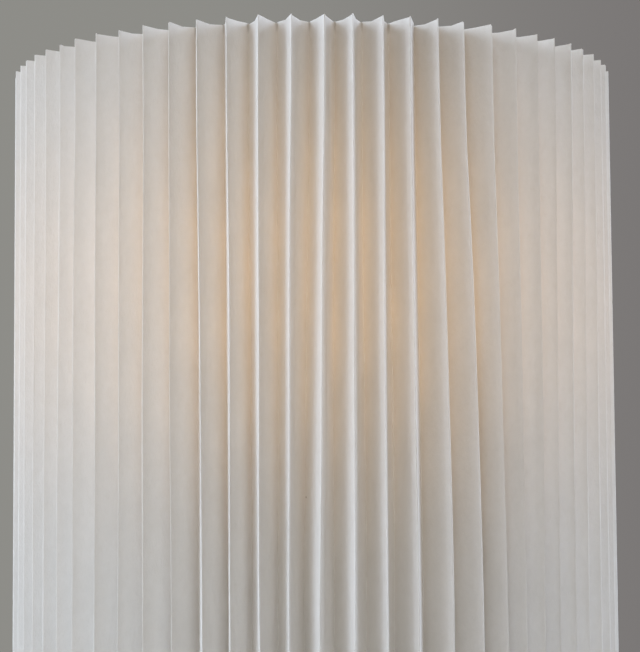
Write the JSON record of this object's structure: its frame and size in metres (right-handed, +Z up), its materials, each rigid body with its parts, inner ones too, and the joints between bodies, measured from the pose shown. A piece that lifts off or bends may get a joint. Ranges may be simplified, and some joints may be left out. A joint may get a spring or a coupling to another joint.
{
  "type": "table lamp",
  "caption": "Column table lamp: a tall pleated paper cylinder shade on a wire cage, lifting off a weighted base with stem, screw lampholder and opal bulb.",
  "frame": {"origin": "on the table, under the lamp's centre", "axes": "+Z up along the stem; +Y towards the back, where the cord inlet is; -Y to the front"},
  "size_m": [0.2, 0.1998, 0.352],
  "materials": {
    "shade_paper": "matt white paper, softly mottled, glowing warm from inside",
    "cage_wire": "white enamelled wire",
    "base_paint": "satin white powder coat",
    "ballast_paint": "matt dark primer",
    "bare_steel": "bare zinc-plated steel",
    "zinc_screw": "zinc-plated screw",
    "foot_rubber": "soft black rubber",
    "black_plastic": "black moulded plastic",
    "terminal_plastic": "natural white moulded plastic",
    "terminal_brass": "bare brass",
    "lead_sheath": "white sheathed lead",
    "holder_plastic": "white heat-resistant moulding",
    "holder_ceramic": "unglazed white ceramic",
    "bulb_solder": "dull contact metal",
    "bulb_cap_metal": "thin bright cap metal",
    "bulb_plastic": "white glossy moulding",
    "led_board": "white lacquered circuit board",
    "led_chip": "yellow phosphor chip",
    "bulb_opal": "opal diffusing dome, lit warm white"
  },
  "bodies": {
    "stand": {"base_cover": "base_paint", "ballast_plate": "ballast_paint", "cover_pillars": "bare_steel", "cover_screws": "zinc_screw", "rubber_feet": "foot_rubber", "cord_bush": "black_plastic", "threaded_rod": "bare_steel", "rod_washer": "bare_steel", "rod_nut": "bare_steel", "stem_foot": "base_paint", "stem_tube": "base_paint", "stem_head": "base_paint", "terminal_block": "terminal_plastic", "terminal_barrels": "terminal_brass", "terminal_screws": "zinc_screw", "inner_lead": "lead_sheath", "lampholder_cap": "holder_plastic", "lampholder_shell": "holder_plastic", "lampholder_insert": "holder_ceramic", "screw_sleeve": "terminal_brass", "centre_contact": "terminal_brass"},
    "shade": {"pleated_shade": "shade_paper", "top_ring": "cage_wire", "bottom_ring": "cage_wire", "locating_ring": "cage_wire", "cage_posts": "cage_wire", "cage_spokes": "cage_wire"},
    "bulb": {"bulb_contact": "bulb_solder", "bulb_insulator": "black_plastic", "bulb_cap": "bulb_cap_metal", "bulb_body": "bulb_plastic", "led_board": "led_board", "led_chips": "led_chip", "bulb_dome": "bulb_opal"}
  },
  "joints": [
    {"name": "shade_lift", "type": "slide", "parent": "stand", "child": "shade", "axis": [0, 0, 1], "range_m": [0, 0.3]},
    {"name": "bulb_turn", "type": "hinge", "parent": "stand", "child": "bulb", "pos_m": [0, 0, 0.2], "axis": [0, 0, 1], "range_deg": [0, 1080]}
  ]
}
